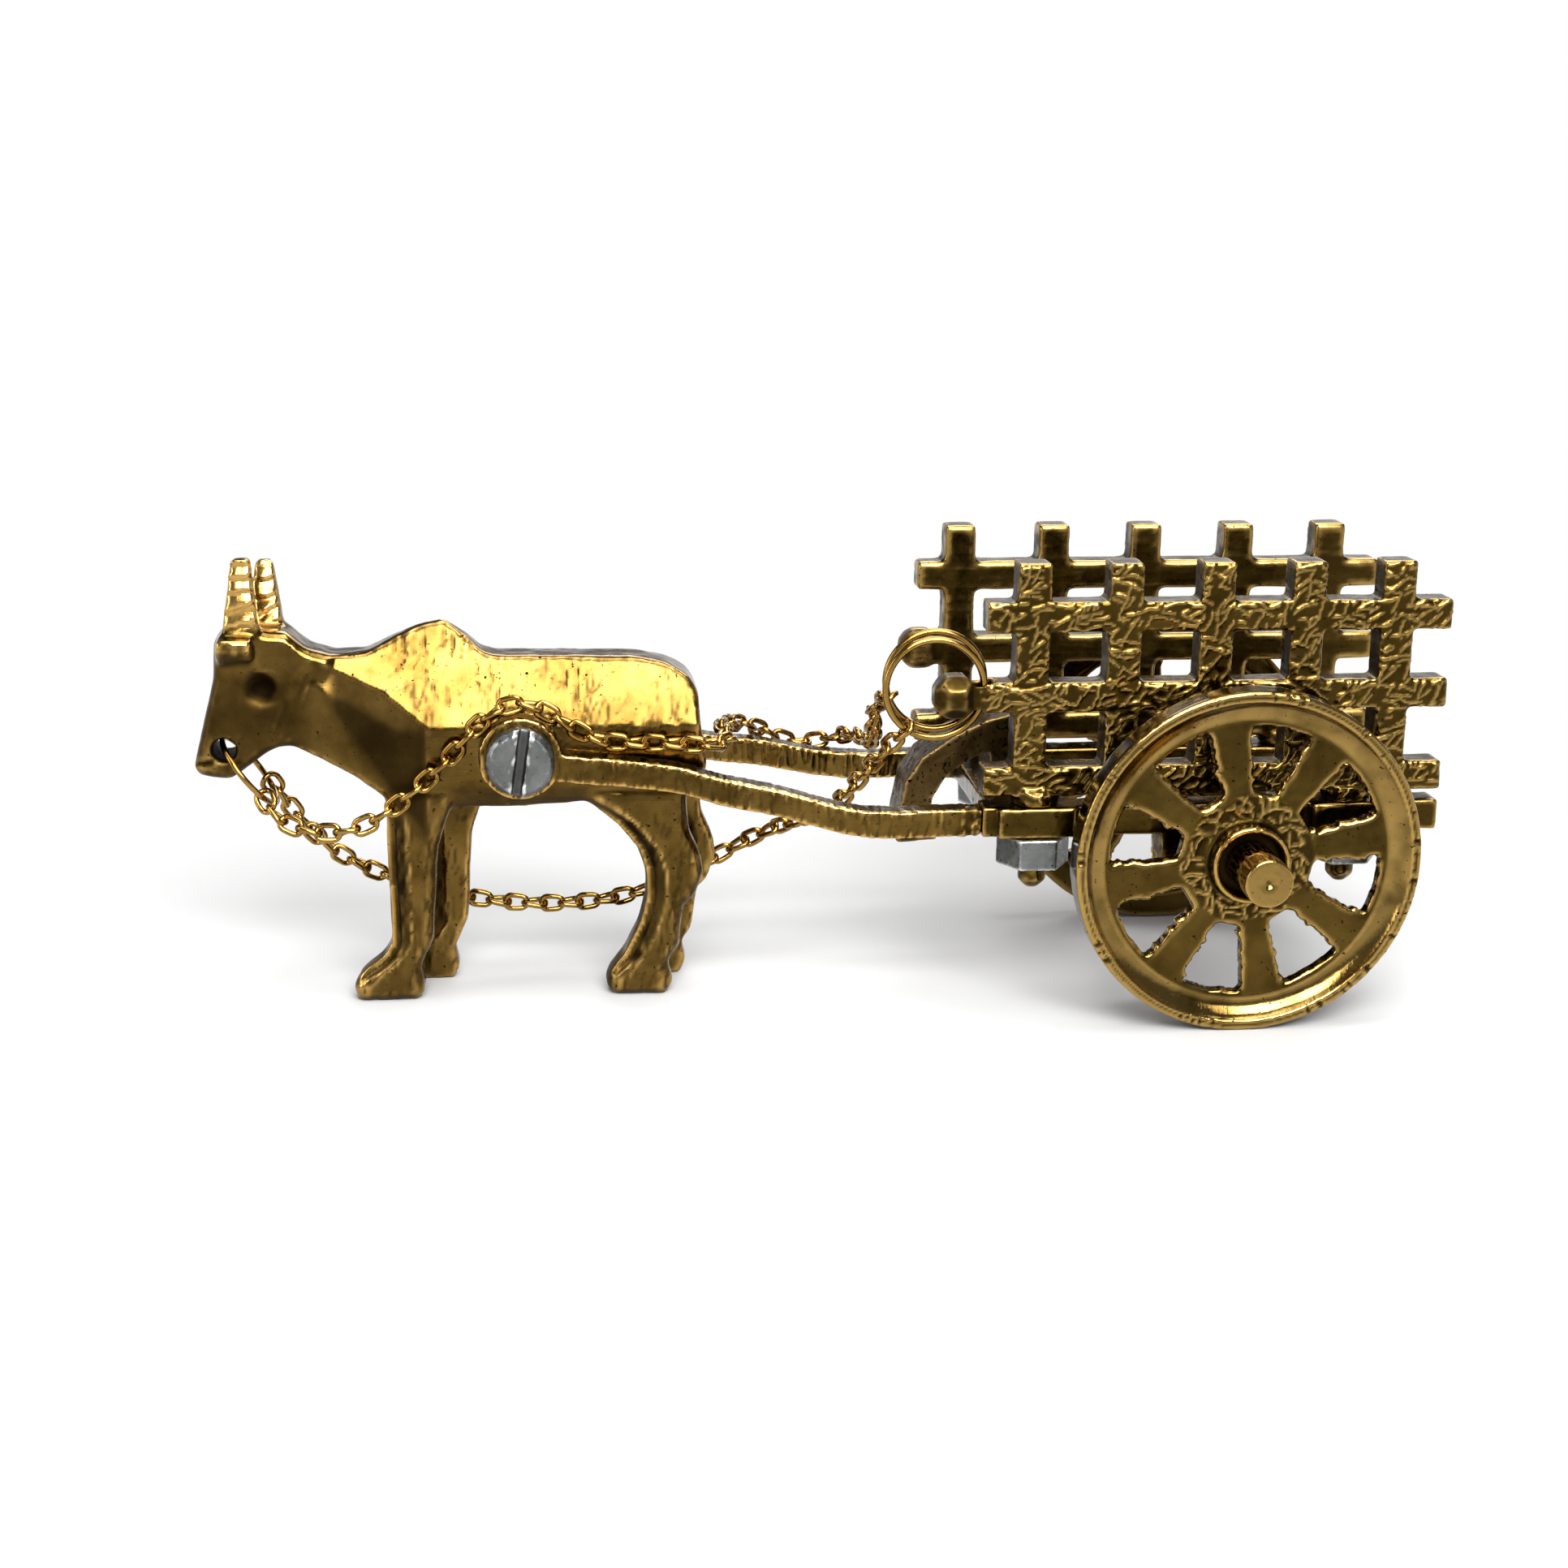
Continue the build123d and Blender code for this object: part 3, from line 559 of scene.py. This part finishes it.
def screws_and_nuts():
    """Uneven plated metal; the screws' slots are chewed and darkened."""
    for node, voxel in PLATED:
        work = Work(node, voxel)
        work.smooth(3)
        p = work.points
        x, y, z = p.T
        height = 0.05 * rough_grain(p * 0.9, seed=21) + 0.03 * rough_grain(p * 2.5, seed=22)
        if node.startswith("screw"):
            from_slot = x - line(z, *SCREW_SLOT)
            chewed = gauss(np.abs(from_slot) - SCREW_SLOT_EDGE, 0.35)
            height += 0.14 * chewed * grain(p * (2.0, 2.0, 1.1), seed=23)
            in_head = step(y ** 2, SCREW_HEAD_Y[0] ** 2, SCREW_HEAD_Y[1] ** 2)
            # darker along the slot on the head
            work.add_soil_and_shade(0.7 * gauss(from_slot, 0.5) * in_head)
        work.raise_by(height)
        work.weather(soil_and_shade=(0.02, 0.09), wear_and_highlight=(0.02, 0.08))
        work.finish(zinc)


# Cart

PANEL = ((70, 21.5), (120.5, 45))
PANEL_FACE = (11.2, 12.0)
KNOB_REAR = 74.7
KNOB_Z = 31.5
KNOB_HALF = 2.4
CASTING_LOW = 17.0


def side_panels():
    """Raised worms chased over the outer face, a filed inner face."""
    for node, voxel in (("side_panel_left", 0.19), ("side_panel_right", 0.27)):
        work = Work(node, voxel)
        work.smooth(6)
        p = work.points
        x, y, z = p.T
        n = work.normals()
        knob = below(x, KNOB_REAR, 0.4) * below(np.abs(z - KNOB_Z), KNOB_HALF, 0.2)
        outward = step(np.abs(y), *PANEL_FACE) * step(np.abs(n[:, 1]), 0.3, 0.7) * (1 - knob)
        rows = scatter(*PANEL, cell=(1.5, 0.72), angle=0.45, spread=1.0, lengths=(1.0, 3.0), seed=33)
        worm = strokes(x, z, rows, width=0.13)
        ground = 0.10 * rough_grain(p * (0.8, 0.3, 1.1), seed=41)
        filed = 0.05 * rough_grain(p * (0.25, 0.5, 2.2), seed=35) + 0.06 * rough_grain(p * 0.4, seed=36)
        lumps = 0.12 * rough_grain(p * 0.3, seed=37)
        relief = outward * (0.18 * worm + ground - 0.08) + (1 - outward) * filed
        work.raise_by(relief + lumps * step(np.abs(n[:, 1]), 0.2, 0.5))
        work.weather(soil_and_shade=(0.02, 0.10), wear_and_highlight=(0.010, 0.06))
        work.add_wear_and_highlight(0.4 * outward * worm * step(rough_grain(p * 0.5, seed=44), -0.6, 0.2))
        inward = (1 - outward) * step(np.abs(n[:, 1]), 0.5, 0.9)
        work.add_soil_and_shade(
            # painted shade in streaks on the inner faces
            0.35 * inward * step(rough_grain(p * (0.2, 0.4, 1.8), seed=38), -0.1, 0.5),
            0.55 * knob * step(rough_grain(p * 0.9, seed=45), -0.5, 0.3),
            # painted shade on forward-facing faces, in patches
            0.60 * step(-n[:, 0], 0.6, 0.95) * step(rough_grain(p * 0.7, seed=39), -0.4, 0.2),
        )
        work.finish(chased)


def castings():
    """Pitted chassis and front bracket, darker in patches towards the bottom."""
    for node, voxel, material, slot in (
        ("chassis", 0.26, chased, "brass"),
        ("front_bracket", 0.2, as_cast, "cast_brass"),
    ):
        work = Work(node, voxel)
        work.smooth(4)
        p = work.points
        pits = np.minimum(0, rough_grain(p * 0.9, seed=41) + 0.25)
        work.raise_by(0.08 * rough_grain(p * 0.5, seed=42) + 0.22 * pits)
        work.weather(soil_and_shade=(0.02, 0.10), wear_and_highlight=(0.02, 0.09))
        low = below(p[:, 2], CASTING_LOW, 1)
        # darker in patches towards the bottom
        work.add_soil_and_shade(0.6 * low * step(rough_grain(p * 0.8, seed=43), -0.5, 0.4))
        work.finish(material)


# Axle and wheels

# Distances from the cart's middle
KNURL_FROM = 18.6
KNURL_TO = 22.6
HUB_FACE = 19.2
RIM_FLOOR = (16.5, 17.0)
RUBBED_FROM = (18.4, 19.5)
# The axle's knurling and dimples
KNURL_COUNT = 18
KNURL_R = (1.9, 2.1)
DIMPLE_R = 0.45
# Shares of the wheel's radius
RIM_INNER = 0.82
RIM_LIP = 0.945
RIM_GROOVE = 0.965
DISH_MIDDLE = (RIM_INNER + RIM_LIP) / 2
DISH_HALF = (RIM_LIP - RIM_INNER) / 2
SPOKE_INNER = 0.39
SPOKE_OUTER = 0.80
# Radii round the hub
BORE_DARK_R = 3.6
CURLS_FROM = 4.0
CURLS_TO = 6.3
CURLS = ((-7, -7), (7, 7))


def about_axle(points):
    """Offset from the axle in x and z, radius and angle there, and distance from the cart's middle."""
    offset = points[:, [0, 2]] - AXLE
    return offset, np.hypot(*offset.T), np.arctan2(offset[:, 1], offset[:, 0]), np.abs(points[:, 1])


def axle():
    """Knurled ends, each with a dimple."""
    work = Work("axle", voxel=0.15)
    work.smooth(2)
    p = work.points
    _, radius, turn, out = about_axle(p)
    knurled = step(out, KNURL_FROM, KNURL_FROM + 0.3) * below(out, KNURL_TO, 1.4) * step(radius, *KNURL_R)
    height = -0.16 * knurled * (0.5 + 0.5 * np.cos(KNURL_COUNT * turn)) ** 3
    height -= 0.35 * gauss(radius, DIMPLE_R) * step(out, AXLE_END - 0.3, AXLE_END - 0.1)
    work.raise_by(height + 0.02 * rough_grain(p * 1.5, seed=51))
    work.weather(soil_and_shade=(0.03, 0.12), wear_and_highlight=(0.015, 0.06))
    work.add_wear_and_highlight(0.5 * step(out, *RUBBED_FROM))
    work.finish(turned)


def wheels():
    """Ticked and dished rims, sawn spokes, and a ring of chased curls round each hub."""
    for node, voxel in (("wheel_left", 0.23), ("wheel_right", 0.28)):
        work = Work(node, voxel)
        work.smooth(4)
        p = work.points
        n = work.normals()
        offset, radius, turn, out = about_axle(p)
        share = radius / WHEEL_R
        turns = np.column_stack((turn, share, 0 * turn))
        front = step(np.sign(p[:, 1]) * n[:, 1], 0.3, 0.8)
        # Ticks and a groove on the lip, and a hollow curve inside it
        lip = front * step(share, RIM_LIP, RIM_LIP + 0.01)
        ticks = gauss(grain(turns * (26, 1, 1), seed=61), 0.12)
        ticks *= step(grain(turns * (5, 1, 1), seed=62), -0.25, 0.2)
        dish = step(share, RIM_INNER - 0.005, RIM_INNER + 0.01) * below(share, RIM_LIP, 0.01)
        dish *= step(out, *RIM_FLOOR)
        height = -0.22 * lip * ticks - 0.10 * front * gauss(share - RIM_GROOVE, 0.004)
        height -= 0.28 * dish * (1 - ((share - DISH_MIDDLE) / DISH_HALF) ** 2)
        # Curls round the hub, out to an uneven edge
        rows = scatter(*CURLS, cell=(1.2, 0.8), angle=0.0, spread=1.6, lengths=(1.0, 2.6), seed=63)
        curls = strokes(*offset.T, rows, width=0.14)
        ring = front * step(radius, CURLS_FROM, CURLS_FROM + 0.3) * below(out, HUB_FACE, 0.3)
        ring *= below(radius, CURLS_TO + 0.5 * grain(turns * (3, 0, 0), seed=68), 0.4)
        height += ring * (0.24 * curls - 0.08)
        # Jagged walls and uneven faces of the spokes
        spokes = step(share, SPOKE_INNER, SPOKE_INNER + 0.03) * below(share, SPOKE_OUTER, 0.03)
        walls = spokes * step(1 - np.abs(n[:, 1]), 0.2, 0.5)
        height += 0.60 * walls * rough_grain(p * (1.5, 0.1, 1.5), seed=64)
        height += 0.05 * spokes * rough_grain(p * 0.6, seed=65)
        height += 0.03 * rough_grain(p * 0.5, seed=66)
        work.raise_by(height)
        work.weather(soil_and_shade=(0.015, 0.09), wear_and_highlight=(0.02, 0.09))
        work.add_soil_and_shade(
            # a darker ring round the bore
            0.8 * below(radius, BORE_DARK_R, 0.3) * below(out, HUB_FACE + 0.4, 0.4),
            0.5 * ring * (1 - curls),
            0.8 * lip * ticks,
        )
        work.add_wear_and_highlight(0.6 * ring * curls, 0.6 * dish * step(rough_grain(p * 0.4, seed=69), -1.0, 0.2))
        work.finish(turned)


# Chain and rings, as round wire

# A packed loop with more points than this is a ring, and one with fewer is a link
LINK_POINTS = 60
LINK_WIRE_R = 0.275
LINK_BOW = 0.16
LINK_WIDEN = 0.15
RING_WIRE_R = 0.34
NOSE_WIRE_R = 0.29
# How sharply a link's round ends meet its straight sides
LINK_CORNER = 6


def loops_of(node):
    """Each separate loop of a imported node: middle, long and cross directions, and their half sizes."""
    mesh = bmesh.new()
    mesh.from_mesh(nodes[node].data)
    bmesh.ops.remove_doubles(mesh, verts=mesh.verts, dist=WELD)
    mesh.verts.ensure_lookup_table()
    seen = set()
    loops = []
    for start in mesh.verts:
        if start.index in seen:
            continue
        seen.add(start.index)
        stack, found = [start], []
        while stack:
            vert = stack.pop()
            found.append(vert.co[:])
            for edge in vert.link_edges:
                other = edge.other_vert(vert)
                if other.index not in seen:
                    seen.add(other.index)
                    stack.append(other)
        points = np.array(found) / MM
        mean = points.mean(0)
        middle = (points.min(0) + points.max(0)) / 2 if len(points) > LINK_POINTS else mean
        axes = np.linalg.svd(points - mean)[2]
        halves = np.abs((points - middle) @ axes.T).max(0)
        loops.append((middle, axes, halves))
    mesh.free()
    return loops


def wire_loop(long_half, cross_half, wire, count, sides, bow):
    """A closed loop of round wire in x and y: a circle, or a link with straight sides."""
    straight = max(long_half - cross_half, 0.0)
    angles = 2 * math.pi * np.arange(count) / count
    path = cross_half * np.column_stack((np.cos(angles), np.sin(angles), np.zeros(count)))
    path[:, 0] += straight * np.tanh(LINK_CORNER * np.cos(angles))
    path[:, 2] = bow * np.sin(2 * angles)
    ahead = np.roll(path, -1, 0) - np.roll(path, 1, 0)
    ahead /= np.linalg.norm(ahead, axis=1)[:, None]
    flat = np.cross(ahead, (0.0, 0.0, 1.0))
    flat /= np.linalg.norm(flat, axis=1)[:, None]
    rise = np.cross(flat, ahead)
    turn = (2 * math.pi * np.arange(sides) / sides)[None, :, None]
    points = path[:, None] + wire * (np.cos(turn) * flat[:, None] + np.sin(turn) * rise[:, None])
    faces = []
    for i in range(count):
        j = (i + 1) % count
        for k in range(sides):
            m = (k + 1) % sides
            faces.append((i * sides + k, j * sides + k, j * sides + m, i * sides + m))
    return points.reshape(-1, 3), faces


def wire_piece(node, wire, count, sides, bow=0.0, widen=0.0):
    """All of a node's loops as one piece of wire, and the loops' middles."""
    all_points, all_faces, middles = [], [], []
    for middle, axes, halves in loops_of(node):
        points, faces = wire_loop(halves[0] - wire, halves[1] - wire + widen, wire, count, sides, bow)
        start = sum(len(part) for part in all_points)
        if np.linalg.det(axes) < 0:
            axes[2] = -axes[2]
        all_points.append(points @ axes + middle)
        all_faces += [tuple(start + v for v in face) for face in faces]
        middles.append(middle)
    mesh = bpy.data.meshes.new(node + "_wire")
    mesh.from_pydata((np.concatenate(all_points) * MM).tolist(), [], all_faces)
    mesh.update()
    for name in ("soil_and_shade", "wear_and_highlight"):
        layer = mesh.attributes.new(name, "FLOAT", "POINT")
        layer.data.foreach_set("value", np.zeros(len(mesh.vertices)))
    return show(node + "_wire", mesh, bright, node), np.array(middles)


def chains():
    """Two reins of bowed links, the rings at their ends, and the nose ring."""
    for node in ("rein_left", "rein_right"):
        piece, route = wire_piece(node, LINK_WIRE_R, count=28, sides=10, bow=LINK_BOW, widen=LINK_WIDEN)
    wire_piece("rein_rings", RING_WIRE_R, count=72, sides=12)
    wire_piece("nose_ring", NOSE_WIRE_R, count=64, sides=12)


# Floor, sky, lights and camera, with lengths in metres

FLOOR_SIZE = 6.0
FLOOR_GREY = (0.42, 0.42, 0.42, 1)
FLOOR_ROUGHNESS = 0.7
# The floor turns into a white glow between these distances from the object's middle
GLOW_FROM = 0.07
GLOW_TO = 0.14
# The sky is white up to one height and grey above another, as shares of straight up
HORIZON_TOP = 0.12
CEILING_FROM = 0.3
CEILING_GREY = 0.22
LIGHTS = (
    # Name, place, width and height, and power in watts
    ("key_light", (0.03, -0.31, 0.285), (0.30, 0.21), 4.0),
    ("top_light", (0.02, -0.05, 0.42), (0.40, 0.26), 2.0),
    ("back_light", (0.10, 0.34, 0.30), (0.36, 0.20), 1.2),
    ("left_light", (-0.38, -0.12, 0.16), (0.10, 0.22), 0.5),
)
LIT_POINT = Vector((0, 0, 0.02))
AZIMUTH = math.radians(-6.138)
ELEVATION = math.radians(15.263)
ROLL = 0.011
DISTANCE = 0.250
TARGET = Vector((-0.002742, 0, 0.020167))
# The lens and the sensor's width are in millimetres
LENS = 57.67
SENSOR = 36
NEAREST = 0.005


def floor():
    material, tree, shader = new_material("floor_white")
    shader.inputs["Base Color"].default_value = FLOOR_GREY
    shader.inputs["Roughness"].default_value = FLOOR_ROUGHNESS
    glow = tree.nodes.new("ShaderNodeEmission")
    glow.inputs["Color"].default_value = (1, 1, 1, 1)
    place = tree.nodes.new("ShaderNodeTexCoord")
    reach = tree.nodes.new("ShaderNodeVectorMath")
    reach.operation = "LENGTH"
    tree.links.new(place.outputs["Object"], reach.inputs[0])
    fade = tree.nodes.new("ShaderNodeMapRange")
    fade.interpolation_type = "SMOOTHSTEP"
    fade.inputs["From Min"].default_value = GLOW_FROM
    fade.inputs["From Max"].default_value = GLOW_TO
    tree.links.new(reach.outputs["Value"], fade.inputs["Value"])
    both = tree.nodes.new("ShaderNodeMixShader")
    tree.links.new(fade.outputs["Result"], both.inputs["Fac"])
    tree.links.new(shader.outputs["BSDF"], both.inputs[1])
    tree.links.new(glow.outputs["Emission"], both.inputs[2])
    tree.links.new(both.outputs["Shader"], tree.nodes["Material Output"].inputs["Surface"])
    bpy.ops.mesh.primitive_plane_add(size=FLOOR_SIZE, location=(0, 0, 0))
    plane = bpy.context.object
    plane.name = "floor"
    plane.data.materials.append(material)


def sky():
    """A white horizon under a darker ceiling."""
    world = bpy.data.worlds.new("studio")
    bpy.context.scene.world = world
    world.use_nodes = True
    tree = world.node_tree
    toward = tree.nodes.new("ShaderNodeTexCoord")
    parts = tree.nodes.new("ShaderNodeSeparateXYZ")
    tree.links.new(toward.outputs["Generated"], parts.inputs["Vector"])
    colour = ramp(tree, parts.outputs["Z"], [(HORIZON_TOP, 1.0), (CEILING_FROM, CEILING_GREY)])
    tree.links.new(colour, tree.nodes["Background"].inputs["Color"])


def lights():
    for name, place, size, power in LIGHTS:
        light = bpy.data.lights.new(name, "AREA")
        light.shape = "RECTANGLE"
        light.size, light.size_y = size
        light.energy = power
        lamp = bpy.data.objects.new(name, light)
        lamp.location = place
        lamp.rotation_euler = (LIT_POINT - Vector(place)).to_track_quat("-Z", "Y").to_euler()
        bpy.context.scene.collection.objects.link(lamp)


def camera():
    """The photograph's view: a turn and a tilt round the target, then a small roll."""
    flat = math.cos(ELEVATION)
    back = Vector((math.sin(AZIMUTH) * flat, -math.cos(AZIMUTH) * flat, math.sin(ELEVATION)))
    level = (-back).cross(Vector((0, 0, 1))).normalized()
    upright = level.cross(-back)
    right = level * math.cos(ROLL) + upright * math.sin(ROLL)
    up = upright * math.cos(ROLL) - level * math.sin(ROLL)
    data = bpy.data.cameras.new("camera")
    data.sensor_fit = "HORIZONTAL"
    data.sensor_width = SENSOR
    data.lens = LENS
    data.clip_start = NEAREST
    viewer = bpy.data.objects.new("camera", data)
    facing = Matrix((right, up, back)).transposed().to_4x4()
    viewer.matrix_world = Matrix.Translation(TARGET + back * DISTANCE) @ facing
    bpy.context.scene.collection.objects.link(viewer)
    bpy.context.scene.camera = viewer
    bpy.context.scene.view_settings.view_transform = "Standard"


bullock()
shafts()
screws_and_nuts()
side_panels()
castings()
axle()
wheels()
chains()
floor()
sky()
lights()
camera()
